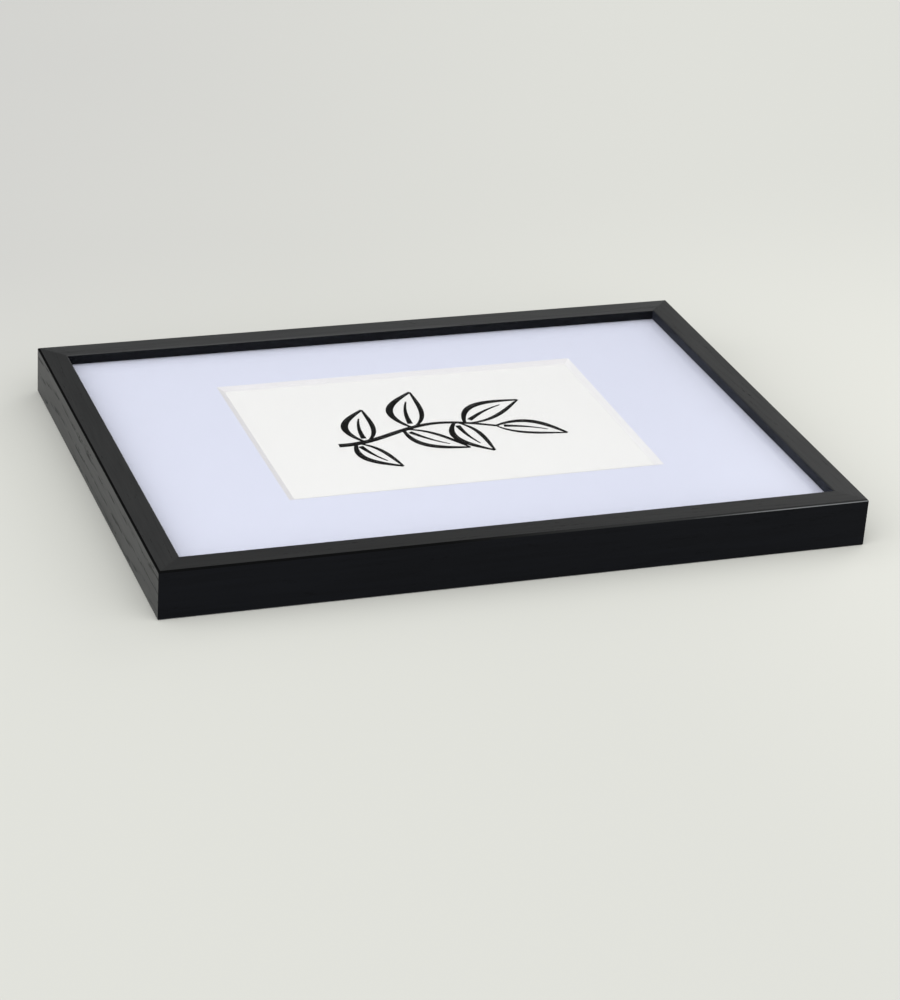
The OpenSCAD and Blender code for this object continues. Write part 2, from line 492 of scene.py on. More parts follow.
def board(name, base, speckle, tooth):
    """Paper board: fine mottled pulp with a soft tooth."""
    material, nodes = new_material(name)
    place = millimetres(nodes)
    pulp = nodes.noise(nodes.scaled(place, 1 / 0.5, 1 / 0.5, 1 / 0.5), 4.0, 0.65)
    cloud = nodes.noise(nodes.scaled(place, 1 / 14, 1 / 14, 1 / 14), 2.0)
    shade = nodes.ramp(0.6 * pulp + 0.4 * cloud, 0.3, 0.7)
    darker = colour(*paler(base, 1 - speckle))
    bump = nodes.node("Bump", None, {"Strength": tooth, "Distance": 0.05 * MM, "Height": pulp})
    shader = nodes.node("BsdfPrincipled", None, {
        "Base Color": nodes.blend(shade, darker, colour(*base)),
        "Roughness": 0.85 + 0.1 * pulp,
        "Specular IOR Level": 0.2,
        "Normal": bump,
    })
    finish_surface(nodes, shader)
    return material


def printing_ink():
    """Black ink that has soaked a little into the sheet."""
    material, nodes = new_material("printing_ink")
    place = millimetres(nodes)
    pulp = nodes.noise(nodes.scaled(place, 1 / 0.3, 1 / 0.3, 1 / 0.3), 3.0, 0.6)
    shade = nodes.blend(pulp, colour(0.001, 0.001, 0.001), colour(0.003, 0.003, 0.003))
    shader = nodes.node("BsdfPrincipled", None, {
        "Base Color": shade,
        "Roughness": 0.6 + 0.2 * pulp,
        "Specular IOR Level": 0.02,
    })
    finish_surface(nodes, shader)
    return material


def fibreboard():
    """Hard fibreboard: pressed brown fibres with darker flecks."""
    material, nodes = new_material("pressed_board")
    place = millimetres(nodes)
    fibres = nodes.noise(nodes.scaled(place, 1 / 1.8, 1 / 0.5, 1 / 0.5), 5.0, 0.7)
    crossed = nodes.noise(nodes.scaled(place, 1 / 0.5, 1 / 1.8, 1 / 0.5), 5.0, 0.7)
    cloud = nodes.noise(nodes.scaled(place, 1 / 30, 1 / 30, 1 / 30), 2.0)
    flecks = nodes.ramp(nodes.noise(nodes.scaled(place, 1 / 2.6, 1 / 0.8, 1 / 0.8), 3.0), 0.62, 0.72)
    shade = nodes.ramp(0.35 * fibres + 0.35 * crossed + 0.3 * cloud, 0.35, 0.65)
    brown = nodes.blend(shade, colour(0.155, 0.083, 0.042), colour(0.29, 0.172, 0.096))
    brown = nodes.blend(flecks * 0.6, brown, colour(0.085, 0.044, 0.022))
    height = fibres + crossed
    bump = nodes.node("Bump", None, {"Strength": 0.3, "Distance": 0.08 * MM, "Height": height})
    shader = nodes.node("BsdfPrincipled", None, {
        "Base Color": brown,
        "Roughness": 0.55 + 0.25 * fibres,
        "Specular IOR Level": 0.3,
        "Normal": bump,
    })
    finish_surface(nodes, shader)
    return material


def plated_steel(name, base, rough, grain):
    """Plated steel: a faint rolled or tumbled grain, and duller cloudy patches."""
    material, nodes = new_material(name)
    place = millimetres(nodes)
    fine = nodes.noise(nodes.scaled(place, 1 / grain, 1 / 0.12, 1 / 0.12), 3.0, 0.6)
    cloud = nodes.noise(nodes.scaled(place, 1 / 3.5, 1 / 3.5, 1 / 3.5), 3.0)
    dull = nodes.ramp(cloud, 0.4, 0.7)
    darker = colour(*(part * 0.72 for part in base))
    bump = nodes.node("Bump", None, {"Strength": 0.12, "Distance": 0.03 * MM, "Height": fine})
    shader = nodes.node("BsdfPrincipled", None, {
        "Base Color": nodes.blend(dull * 0.7, colour(*base), darker),
        "Metallic": 1.0,
        "Roughness": rough + 0.14 * dull + 0.12 * (fine - 0.5),
        "Normal": bump,
    })
    finish_surface(nodes, shader)
    return material


# Rails of the moulding

def rail_blank(name, run):
    """A mitred length of moulding along X, with its outer face at Y zero."""
    groove_low = plate_low.z - GROOVE_PLAY
    groove_high = plate_high.z + GROOVE_PLAY
    half = run / 2
    piece = block(name, (-half - SPARE, 0, 0), (half + SPARE, WALL, RAIL_H))
    with editing(piece):
        score((0, 0, glass_high.z), (0, 0, 1))
        pick(piece, "FACE", lambda f: f.normal.y > 0.9 and middle(f).z > glass_high.z)
        push(0, LIP_REACH, 0)
        score((0, 0, groove_low), (0, 0, 1))
        score((0, 0, groove_high), (0, 0, 1))
        pick(piece, "FACE", lambda f: f.normal.y > 0.9 and groove_low < middle(f).z < groove_high)
        push(0, -GROOVE_D, 0)

        outer_corners = ((0, 0), (0, RAIL_H), (FACE_W, RAIL_H))

        def on_long_edge(edge):
            a, b = (v.co for v in edge.verts)
            along = close(a.y, b.y) and close(a.z, b.z)
            return along and any(close(a.y, y) and close(a.z, z) for y, z in outer_corners)

        pick(piece, "EDGE", on_long_edge)
        bpy.ops.mesh.bevel(offset=ARRIS, segments=ARRIS_STEPS, affect="EDGES")
        for side in (-1, 1):
            slice_off((side * half, 0, 0), Vector((side, 1, 0)).normalized())
        tidy_faces()
    return piece


def corner_strip(name, side_x, side_y, grow, low, high):
    """A bent strip round the frame's corner on one side in X and one in Y."""
    inset = NAIL_IN - grow
    thin = NAIL_T + 2 * grow
    leg = NAIL_LEG + 2 * grow
    corner_x = side_x * (FRAME_LEN / 2 - inset)
    corner_y = side_y * (FRAME_WID / 2 - inset)
    inner_x = corner_x - side_x * thin
    inner_y = corner_y - side_y * thin
    piece = block(
        name,
        (min(corner_x, inner_x), min(corner_y, inner_y), low),
        (max(corner_x, inner_x), max(corner_y, inner_y), high),
    )
    with editing(piece):
        pick(piece, "FACE", lambda f: f.normal.x * -side_x > 0.9)
        push(-side_x * (leg - thin), 0, 0)
        pick(piece, "FACE", lambda f: f.normal.y * -side_y > 0.9
             and abs(middle(f).x - corner_x) < thin)
        push(0, -side_y * (leg - thin), 0)
        tidy_faces()
    return piece


def finish_faces(rail, finishes):
    """Shares a rail's finishes out to its top, its walls, its outer side and its outer edge."""
    for face in rail.data.polygons:
        level = abs(face.normal.z)
        reach = max(abs(face.center.x) - FRAME_LEN / 2, abs(face.center.y) - FRAME_WID / 2)
        rounded = 0.02 < level < 0.999
        part = "face"
        if rounded and reach > -ARRIS and face.center.z > RAIL_H / 2 and "edge" in finishes:
            part = "edge"
        elif level < 0.5:
            part = "side" if reach > -TINY and "side" in finishes else "wall"
        face.material_index = finishes.index(part)


RAILS = {
    # name: its place, its length, its turn, and the corners at its ends
    "rail_near": ((0, -FRAME_WID / 2, 0), FRAME_LEN, 0.0, ((-1, -1), (1, -1))),
    "rail_far": ((0, FRAME_WID / 2, 0), FRAME_LEN, math.pi, ((-1, 1), (1, 1))),
    "rail_left": ((-FRAME_LEN / 2, 0, 0), FRAME_WID, -RIGHT_ANGLE, ((-1, -1), (-1, 1))),
    "rail_right": ((FRAME_LEN / 2, 0, 0), FRAME_WID, RIGHT_ANGLE, ((1, -1), (1, 1))),
}

# Tones of the stain: on top, on the walls, on the greyer outer sides, whose paler tone partly paints
# their grazing sheen, and on the edges, which carry a painted dark reflection and a painted highlight
OAK_DARK = (0.0075, 0.0077, 0.008)
OAK_LIGHT = (0.0105, 0.0108, 0.011)
INKY_DARK = (0.0031, 0.0034, 0.0045)
INKY_LIGHT = (0.0041, 0.0046, 0.0062)
# Outer sides of the left and right rails: a paler stain that also partly paints their grazing sheen
SIDE_GREY_AND_SHEEN_DARK = (0.0255, 0.0261, 0.0271)
SIDE_GREY_AND_SHEEN_LIGHT = (0.0488, 0.0502, 0.0518)
# Edges: a painted dark reflection, a neutral tone and a painted highlight
EDGE_PAINTED_DARK = (0.0015, 0.0016, 0.0018)
EDGE_NEUTRAL = (0.02, 0.0205, 0.021)
EDGE_PAINTED_HIGHLIGHT = (0.142, 0.147, 0.153)
OAK_CUTS = {
    # name: turn of the grain, shift and tilt of the log, paleness of the top and of the walls; the
    # paleness, set rail by rail, partly paints the sheen and light that each rail catches
    "rail_near": (0.0, (40.0, 11.0, 3.0), 0.012, 1.75, 1.0),
    "rail_far": (0.0, (-310.0, -52.0, 22.0), -0.02, 3.9, 1.2),
    "rail_left": (RIGHT_ANGLE, (130.0, 24.0, -8.0), 0.035, 2.1, 5.0),
    "rail_right": (RIGHT_ANGLE, (-95.0, 71.0, 15.0), -0.028, 2.4, 5.0),
}


def paler(base, share):
    return tuple(part * share for part in base)


def edge_with_painted_reflection(name):
    """The rounded edge, black with stain, with a painted dark reflection along its left part that
    fades to a neutral tone, and a painted highlight as a thin pale line along its right part.
    """
    material, nodes = new_material(name)
    place = millimetres(nodes)
    across = nodes.node("SeparateXYZ", None, (place,), "X")
    height = nodes.node("SeparateXYZ", None, (place,), "Z")
    uneven = nodes.noise(nodes.scaled(place, 1 / 6, 1 / 2, 1 / 2), 3.0)
    top = RAIL_H / MM
    # Painted reflection: the edge is painted darkest to the left and fades to its neutral tone towards
    # the middle
    dark_reflection_fade = nodes.ramp(across, -40.0, 50.0)
    # Painted highlight: a thin pale line along the top of the edge, on its right part
    pale = nodes.ramp(across + 20.0 * uneven, 76.0, 132.0)
    pale = pale * nodes.ramp(height, top - 0.5, top - 0.3, 1.0, 0.0)
    tint = nodes.blend(dark_reflection_fade, colour(*EDGE_PAINTED_DARK), colour(*EDGE_NEUTRAL))
    shader = nodes.node("BsdfPrincipled", None, {
        "Base Color": nodes.blend(pale, tint, colour(*EDGE_PAINTED_HIGHLIGHT)),
        "Roughness": 0.5 + 0.1 * uneven,
        "Specular IOR Level": 0.03,
    })
    finish_surface(nodes, shader)
    return material


def make_rails():
    for name, (place, run, turn, corners) in RAILS.items():
        rail = placed(rail_blank(name + "_oak", run), place, turn)
        for side_x, side_y in corners:
            slot_top = nails_high.z + NAIL_PLAY
            slot = corner_strip("slot", side_x, side_y, NAIL_PLAY, -SPARE, slot_top)
            combine(rail, slot, "DIFFERENCE")
        with editing(rail):
            tidy_faces()
        smooth(rail)
        *log, pale, wall_pale = OAK_CUTS[name]
        # Partly painted light: each rail's own paleness of the same stain
        tones = paler(OAK_DARK, pale), paler(OAK_LIGHT, pale)
        wall_tones = paler(INKY_DARK, wall_pale), paler(INKY_LIGHT, wall_pale)
        finishes = {
            "face": stained_oak(name + "_face", *log, *tones, shine=0.2, rough=0.46, grain=0.2),
            "wall": stained_oak(name + "_wall", *log, *wall_tones, shine=0.05, rough=0.5, grain=0.1),
        }
        # Partly painted sheen: the left and right rails' outer sides get the paler stain, together
        # with a higher shine
        if name in ("rail_left", "rail_right"):
            grey = SIDE_GREY_AND_SHEEN_DARK, SIDE_GREY_AND_SHEEN_LIGHT
            side = stained_oak(name + "_side", *log, *grey, shine=0.28, rough=0.5, grain=0.8)
            finishes["side"] = side
        # The near and left rails' outer top edges get the painted dark reflection; only the near edge
        # reaches the painted highlight at its right
        if name in ("rail_near", "rail_left"):
            finishes["edge"] = edge_with_painted_reflection(name + "_edge")
        stand_for(rail, name, "frame", "stained_oak", *finishes.values())
        finish_faces(rail, list(finishes))


def make_corner_nails(steel):
    """Four bent strips, each with its lower edge ground to a bevel."""
    for side_x, word_x in ((-1, "left"), (1, "right")):
        for side_y, word_y in ((-1, "near"), (1, "far")):
            name = "corner_nail_" + word_y + "_" + word_x
            nail = corner_strip(name, side_x, side_y, 0.0, nails_low.z, nails_high.z)
            soften(nail, NAIL_EDGE, 1)
            stand_for(nail, "corner_nails", "frame", "nail_steel", steel)


# Glass, mat and sheet

def make_glass(glass):
    """The pane, with ground edges and a hair of air before the mat."""
    film = Vector((0, 0, GLASS_FILM))
    pane = block("pane_of_glass", glass_low + film, glass_high - film)
    with editing(pane):
        bpy.ops.mesh.bevel(offset=GLASS_ARRIS, segments=1, affect="EDGES")
    smooth(pane)
    stand_for(pane, "glass_pane", "frame", "clear_glass", glass)


def window_plug(spare):
    """What the sloping knife takes out of the mat, higher and deeper by a spare."""
    slope = BEVEL_RUN / (mat_high.z - mat_low.z)
    half_x = WINDOW_LEN / 2 + slope * spare
    half_y = WINDOW_WID / 2 + slope * spare
    low, high = mat_low.z - spare, mat_high.z + spare
    centre = Vector((WINDOW_DX, WINDOW_DY, 0))
    reach = Vector((half_x, half_y, 0))
    level = Vector((0, 0, 1))
    plug = block("plug", centre - reach + low * level, centre + reach + high * level)
    run = slope * (high - low)
    shares = (1 - run / half_x, 1 - run / half_y, 1)
    with editing(plug):
        pick(plug, "FACE", lambda f: f.normal.z < -0.9)
        bpy.ops.transform.resize(value=shares, center_override=centre + low * level)
    return plug


def make_mat(face, core, plain_core):
    """The mat, with its window cut at a slope; the cut's left, near and far slopes carry a greyer core
    as painted shade, and the right slope keeps the plain core.
    """
    piece = block("mat_with_window", mat_low, mat_high)
    combine(piece, window_plug(KNIFE_SPARE), "DIFFERENCE")
    with editing(piece):
        tidy_faces()
    stand_for(piece, "mat_board", "frame", "mat", face, core, plain_core)
    for facet in piece.data.polygons:
        facet.material_index = 0
        # Painted shade: the slopes that don't face left get the greyer core
        if 0.1 < facet.normal.z < 0.99:
            facet.material_index = 2 if facet.normal.x < -0.1 else 1
    soften(piece, MAT_EDGE, 2)


# Leaf sprig in ink

SPRIG_MIDDLE = (-9 * MM, 5 * MM)
SPRIG_LEN = 76 * MM
SPRIG_SWAY = 7 * MM
SPRIG_WAVE = 0.8 * FULL_TURN
WAVE_START = 0.35
STEM_W = 3.6 * MM
STEM_TAPER = 0.45
LEAF_LINE_W = 3.4 * MM
LIGHT_LINE = 0.7
LEAF_TAPER = 0.55
VEIN_W = 2.6 * MM
VEIN_TAPER = 0.7
VEIN_START = 0.1
VEIN_SPAN = 0.62
LEAF_PAIRS = 3
FIRST_PAIR = 0.14
PAIR_SPAN = 0.66
LONGEST_PAIR = 1.4
LEAF_LEN = 40 * MM
TIP_LEAF_LEN = 32 * MM
LEAF_BELLY = 0.19
LEAF_BOW = 0.07
INK_T = 0.02 * MM
LINE_POINTS = 40


def stem_place(share):
    """A place on the stem, and the way that it runs there."""
    wave = SPRIG_WAVE * (share - WAVE_START)
    x = (share - 0.5) * SPRIG_LEN
    y = SPRIG_SWAY * math.sin(wave)
    slope = SPRIG_SWAY / SPRIG_LEN * SPRIG_WAVE * math.cos(wave)
    return Vector((x, y)), math.atan(slope)


def leaf_edge(share, length, side):
    """A place on a leaf's edge, along the leaf and across it."""
    belly = LEAF_BELLY * length * math.sin(math.pi * share ** 0.8)
    bow = LEAF_BOW * length * math.sin(math.pi * share)
    return Vector((length * share, side * belly + bow))


def sprig_leaves():
    """Each leaf's place on the stem, its length, its angle to the stem and its side."""
    leaves = []
    for pair in range(LEAF_PAIRS):
        share = FIRST_PAIR + PAIR_SPAN * pair / (LEAF_PAIRS - 1)
        size = LEAF_LEN * (1 - 0.34 * abs(pair - LONGEST_PAIR) / LEAF_PAIRS)
        for side in (-1, 1):
            spread = 66 - 5 * pair - 6 * side
            length = size * (0.93 + 0.07 * side)
            leaves.append((share + 0.03 * side, length, side * math.radians(spread), side))
    leaves.append((1.0, TIP_LEAF_LEN, 0.0, 1))
    return leaves


def sprig_lines():
    """The lines of the sprig, each as its points and the width at each point."""
    shares = [number / LINE_POINTS for number in range(LINE_POINTS + 1)]
    stem = [stem_place(share)[0] for share in shares]
    lines = [(stem, [STEM_W * (1 - STEM_TAPER * share) for share in shares])]
    swell = [1 - LEAF_TAPER + LEAF_TAPER * math.sin(math.pi * share) for share in shares]
    for share, size, angle, side in sprig_leaves():
        root, way = stem_place(share)
        turn = Matrix.Rotation(way + angle, 2)

        def on_leaf(place):
            return root + turn @ Vector((place.x, side * place.y))

        for edge, width in ((-1, LIGHT_LINE * LEAF_LINE_W), (1, LEAF_LINE_W)):
            outline = [on_leaf(leaf_edge(s, size, edge)) for s in shares]
            lines.append((outline, [width * part for part in swell]))
        vein = [on_leaf(leaf_edge(VEIN_START + VEIN_SPAN * s, size, 0)) for s in shares]
        lines.append((vein, [VEIN_W * (1 - VEIN_TAPER * s) for s in shares]))
    return lines


def make_sprig(ink):
    """The sprig as flat lines of ink on the insert sheet."""
    sheet_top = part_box("insert_sheet")[1].z
    drawing = bpy.data.curves.new("leaf_sprig", "CURVE")
    drawing.dimensions = "3D"
    # Half a unit deep, so that a point's radius is the line's whole width there
    drawing.bevel_depth = 0.5
    drawing.bevel_resolution = 1
    drawing.fill_mode = "FULL"
    drawing.use_fill_caps = True
    for points, widths in sprig_lines():
        line = drawing.splines.new("POLY")
        line.points.add(len(points) - 1)
        for place, point, width in zip(line.points, points, widths):
            place.co = (point.x, point.y, 0, 1)
            place.radius = width
    sprig = bpy.data.objects.new("leaf_sprig", drawing)
    bpy.context.scene.collection.objects.link(sprig)
    choose(sprig)
    bpy.ops.object.convert(target="MESH")
    with editing(sprig):
        bpy.ops.mesh.remove_doubles(threshold=TINY)
        bpy.ops.mesh.normals_make_consistent(inside=False)
    sprig.scale = (1, 1, INK_T / STEM_W)
    sprig.location = (*SPRIG_MIDDLE, sheet_top)
    settle(sprig, "leaf_sprig")
    sprig.data.materials.clear()
    sprig.data.materials.append(ink)
    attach(sprig, "frame")


# Back panel, turn buttons and rivets

def make_back_panel(brown):
    """The drilled panel, with its sawn edges eased."""
    node = frame["nodes"]["back_panel"]
    panel = bpy.data.objects.new("drilled_back_panel", node.data.copy())
    bpy.context.scene.collection.objects.link(panel)
    with editing(panel):
        tidy_faces()
    soften(panel, PANEL_EDGE, 2)
    stand_for(panel, "back_panel", "frame", "fibreboard", brown)


def arc(middle_r, middle_z, radius, start, stop, steps=5):
    """Points of a round stretch of an outline, from one angle to the other in degrees."""
    points = []
    for number in range(steps + 1):
        angle = math.radians(start + (stop - start) * number / steps)
        points.append((middle_r + radius * math.cos(angle), middle_z + radius * math.sin(angle)))
    return points


def rivet_outline(length):
    """Section of a hollow rivet: rolled head at zero, shank, and clenched end."""
    seat = length - CLENCH_T
    head = arc(RIVET_BORE_R + RIVET_MOUTH, RIVET_MOUTH, RIVET_MOUTH, 180, 270)
    head += arc(RIVET_HEAD_R - RIVET_RIM, RIVET_RIM, RIVET_RIM, 270, 360)
    shank = [(RIVET_HEAD_R, RIVET_HEAD_T), (RIVET_R, RIVET_HEAD_T), (RIVET_R, seat)]
    clench = [(RIVET_HEAD_R, seat)]
    clench += arc(RIVET_HEAD_R - CLENCH_RIM, length - CLENCH_RIM, CLENCH_RIM, 0, 90, 3)
    clench += arc(RIVET_BORE_R + CLENCH_RIM, length - CLENCH_RIM, CLENCH_RIM, 90, 180, 3)
    return head + shank + clench


def make_rivet(name, length):
    """A rivet spun about Z from its drawn outline."""
    outline = rivet_outline(length)
    piece = sheet(name, (outline[0][0], 0, outline[0][1]), MM, MM)
    with editing(piece):
        bpy.ops.mesh.select_mode(type="VERT")
        bpy.ops.mesh.merge(type="CENTER")
        places = outline[1:] + outline[:1]
        at_r, at_z = outline[0]
        for r, z in places:
            step = (r - at_r, 0, z - at_z)
            bpy.ops.mesh.extrude_vertices_move(TRANSFORM_OT_translate={"value": step})
            at_r, at_z = r, z
        bpy.ops.mesh.select_all(action="SELECT")
        bpy.ops.mesh.spin(
            steps=RIVET_STEPS, angle=FULL_TURN, center=(0, 0, 0), axis=(0, 0, 1)
        )
        bpy.ops.mesh.select_all(action="SELECT")
        bpy.ops.mesh.remove_doubles(threshold=TINY)
        bpy.ops.mesh.select_all(action="SELECT")
        bpy.ops.mesh.normals_make_consistent(inside=False)
    return piece


def make_turn_button(name, tip_r):
    """A stamped plate: a round head at the pivot and a tongue along X with a round tip."""
    low, high = plate_low.z, plate_high.z
    plate = disc(name, tip_r, low, high, BTN_SIDES)
    with editing(plate):
        slice_off((0, BTN_W / 2, 0), (0, 1, 0))
        slice_off((0, -BTN_W / 2, 0), (0, -1, 0))
        slice_off((0, 0, 0), (-1, 0, 0))
    combine(plate, disc("head", BTN_HEAD_R, low, high, BTN_SIDES), "UNION")
    hole_r = RIVET_R + HOLE_PLAY
    combine(plate, disc("hole", hole_r, low - MM, high + MM, RIVET_STEPS), "DIFFERENCE")
    with editing(plate):
        tidy_faces()
    soften(plate, BTN_EDGE, 2)
    return plate


def button_places():
    """Each turn button's name, its pivot, the turn of its tongue and the reach of its tip."""
    places = []
    for joint in frame["joints"]:
        name = joint["child"]
        if not name.startswith("turn_button"):
            continue
        pivot = Vector((joint["pos_m"][0], joint["pos_m"][1], 0))
        low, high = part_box(name)
        reaches = {
            0.0: high.x - pivot.x,
            math.pi: pivot.x - low.x,
            RIGHT_ANGLE: high.y - pivot.y,
            -RIGHT_ANGLE: pivot.y - low.y,
        }
        turn = max(reaches, key=reaches.get)
        places.append((name, pivot, turn, reaches[turn]))
    return places


def make_buttons(plate_steel, rivet_steel):
    rivet_low, rivet_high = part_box("button_rivets")
    places = button_places()
    tip_r = places[0][3]
    plate = make_turn_button("plate", tip_r)
    rivet = make_rivet("rivet", rivet_high.z - rivet_low.z)
    smooth(rivet)
    for name, pivot, turn, _ in places:
        button = placed(twin(plate, name + "_plate"), pivot, turn)
        stand_for(button, name, name, "button_steel", plate_steel)
        eyelet = twin(rivet, name.replace("turn_button", "button_rivet"))
        placed(eyelet, pivot + Vector((0, 0, rivet_low.z)), 0.0)
        stand_for(eyelet, "button_rivets", "frame", "rivet_steel", rivet_steel)
    bpy.data.objects.remove(plate)
    bpy.data.objects.remove(rivet)


# Hangers

def make_strap(name, width):
    """A strap along X, its near end curled round a bar along Y at zero."""
    middle_r = WIRE_R + HOLE_PLAY + STRAP_T / 2
    end = STRAP_FIRST + STRAP_PITCH + width / 2
    strap = sheet(name, (end / 2, 0, middle_r), end, width)
    with editing(strap):
        pick(strap, "VERT", lambda v: close(v.co.x, end))
        bpy.ops.mesh.bevel(offset=width / 2 - TINY, segments=END_STEPS, affect="VERTICES")
        pick(strap, "EDGE", lambda e: all(close(v.co.x, 0) for v in e.verts))
        bpy.ops.mesh.spin(
            steps=CURL_STEPS, angle=CURL_TURN, center=(0, 0, 0), axis=(0, 1, 0)
        )
        bpy.ops.mesh.select_all(action="SELECT")
        bpy.ops.mesh.remove_doubles(threshold=TINY / 2)
        bpy.ops.mesh.select_all(action="SELECT")
        bpy.ops.mesh.normals_make_consistent(inside=False)
    apply_modifier(strap, "SOLIDIFY", thickness=STRAP_T, offset=0.0)
    for x in (STRAP_FIRST, STRAP_FIRST + STRAP_PITCH):
        low, high = middle_r - STRAP_T, middle_r + STRAP_T
        hole = disc("hole", RIVET_R + HOLE_PLAY, low, high, RIVET_STEPS)
        combine(strap, placed(hole, (x, 0, 0), 0.0), "DIFFERENCE")
    soften(strap, STRAP_EDGE, 2)
    return strap


def make_ring(name, arc_r):
    """A D-shaped ring of round wire: its bar along Y at zero, its round side down."""
    bar_half = arc_r - RING_BEND
    deselect()
    bpy.ops.mesh.primitive_circle_add(
        vertices=WIRE_SIDES, radius=WIRE_R, location=(0, -bar_half, 0),
        rotation=(RIGHT_ANGLE, 0, 0),
    )
    ring = settle(bpy.context.active_object, name)
    down = (1, 0, 0)
    with editing(ring):
        push(0, 2 * bar_half, 0)
        bends = (
            ((0, bar_half, -RING_BEND), RIGHT_ANGLE, 8),
            ((0, 0, -RING_BEND), math.pi, 40),
            ((0, -bar_half, -RING_BEND), RIGHT_ANGLE, 8),
        )
        for centre, angle, steps in bends:
            bpy.ops.mesh.spin(steps=steps, angle=angle, center=centre, axis=down)
        bpy.ops.mesh.select_all(action="SELECT")
        bpy.ops.mesh.remove_doubles(threshold=TINY)
        bpy.ops.mesh.select_all(action="SELECT")
        bpy.ops.mesh.normals_make_consistent(inside=False)
    smooth(ring)
    return ring


def make_hangers(strap_steel, wire_steel, rivet_steel):
    rivet_low, rivet_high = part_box("hanger_rivets")
    rivet = make_rivet("rivet", rivet_high.z - rivet_low.z)
    smooth(rivet)
    for joint in frame["joints"]:
        body = joint["child"]
        if not body.startswith("hanger_ring"):
            continue
        way = body.removeprefix("hanger_ring_")
        bar = Vector(joint["pos_m"])
        strap_node = "hanger_strap_" + way
        low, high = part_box(strap_node)
        lean = (low + high) / 2 - bar
        turn = math.atan2(round(lean.y, 3), round(lean.x, 3))
        width = min(high.x - low.x, high.y - low.y)
        strap = placed(make_strap(strap_node + "_curled", width), bar, turn)
        stand_for(strap, strap_node, "frame", "hanger_steel", strap_steel)
        ring_low, ring_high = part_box(body)
        spread = max(ring_high.x - ring_low.x, ring_high.y - ring_low.y)
        ring = placed(make_ring(body + "_wire", spread / 2 - WIRE_R), bar, turn)
        stand_for(ring, body, body, "ring_wire", wire_steel)
        for word, x in (("inner", STRAP_FIRST), ("outer", STRAP_FIRST + STRAP_PITCH)):
            along = Vector((x * math.cos(turn), x * math.sin(turn), 0))
            eyelet = twin(rivet, "hanger_rivet_" + way + "_" + word)
            placed(eyelet, Vector((bar.x, bar.y, rivet_low.z)) + along, 0.0)
            stand_for(eyelet, "hanger_rivets", "frame", "rivet_steel", rivet_steel)
    bpy.data.objects.remove(rivet)


# Studio: floor, world, lamps and camera

FLOOR_SIZE = 9.0
FLOOR_COLOUR = (0.597, 0.602, 0.573)
# Painted shade behind the frame, and a painted pool of light in front to the right
FLOOR_PAINTED_SHADE = (0.51, 0.51, 0.5)
FLOOR_PAINTED_LIGHT = (0.665, 0.667, 0.632)
PALE_SKY = 0.78
DOME = 1.3
LEAN_FRONT = 0.55
LEAN_LEFT = 0.36
LEAN_UP = 0.15
LEVEL_MIDDLE = 0.67
DIM = 0.06
DIM_FROM = math.sin(math.radians(31))
DIM_TO = math.sin(math.radians(46))
GLOW = 2.4
GLOW_WAY = (0.74, 0.62, 0.26)
GLOW_FROM = math.cos(math.radians(26))
UNDER_POWER = 1.1
UNDER_DEPTH = -0.35


def make_floor():
    """A pale floor, which is clear from below so that the back can be looked at; its colour holds
    painted shade behind, most to the left, and a painted pool of light in front to the right.
    """
    material, nodes = new_material("floor")
    place = nodes.node("TexCoord", output="Object")
    across = nodes.node("SeparateXYZ", None, (place,), "X")
    along = nodes.node("SeparateXYZ", None, (place,), "Y")
    cloud = nodes.noise(nodes.scaled(place, 1.6, 1.6, 1.6), 3.0)
    # Painted shade: darker behind the frame, most to the left, and mottled there
    behind = nodes.ramp(along, 0.02, 0.3) * nodes.ramp(across - 0.35 * along, -0.4, 0.2, 1.0, 0.15)
    # Painted light: a brighter pool in front to the right
    pool = nodes.ramp(across, -0.02, 0.3) * nodes.ramp(along, -0.1, 0.35, 1.0, 0.0)
    tint = nodes.blend(behind * (0.75 + 0.5 * cloud), colour(*FLOOR_COLOUR), colour(*FLOOR_PAINTED_SHADE))
    tint = nodes.blend(pool, tint, colour(*FLOOR_PAINTED_LIGHT))
    paper = nodes.node("BsdfDiffuse", None, {"Color": tint})
    open_view = nodes.node("BsdfTransparent")
    below = nodes.node("NewGeometry", output="Backfacing")
    seen = nodes.node("LightPath", output="Is Camera Ray")
    finish_surface(nodes, nodes.node("MixShader", None, (below * seen, paper, open_view)))
    floor = sheet("studio_floor", (0, 0, -TINY), FLOOR_SIZE, FLOOR_SIZE)
    floor.data.materials.append(material)
    floor.visible_shadow = False


def make_world():
    """A light tent: brighter in front, left and low, and dim low behind, where glass mirrors it."""
    world = bpy.data.worlds.new("studio")
    world.use_nodes = True
    bpy.context.scene.world = world
    nodes = Nodes(world.node_tree)
    way = nodes.node("TexCoord", output="Generated")
    height = nodes.node("SeparateXYZ", None, (way,), "Z")
    right = nodes.node("SeparateXYZ", None, (way,), "X")
    back = nodes.node("SeparateXYZ", None, (way,), "Y")
    lean = 1.0 - LEAN_FRONT * back - LEAN_LEFT * right - LEAN_UP * (height - LEVEL_MIDDLE)
    gap = nodes.ramp(back, 0.35, 0.6) * nodes.ramp(height, DIM_FROM, DIM_TO, 1.0, 0.0)
    toward = nodes.node("VectorMath", {"operation": "DOT_PRODUCT"}, (way, GLOW_WAY), "Value")
    glow = GLOW * nodes.ramp(toward, GLOW_FROM, 1.0)
    light = (DOME * lean * (1.0 - (1.0 - DIM) * gap) + glow) * (height > 0.0)
    seen = nodes.node("LightPath", output="Is Camera Ray")
    strength = light * (1.0 - seen) + PALE_SKY * seen
    sky = nodes.node("Background", None, {"Color": colour(1.0, 1.0, 0.985), "Strength": strength})
    nodes.node("OutputWorld", None, {"Surface": sky})


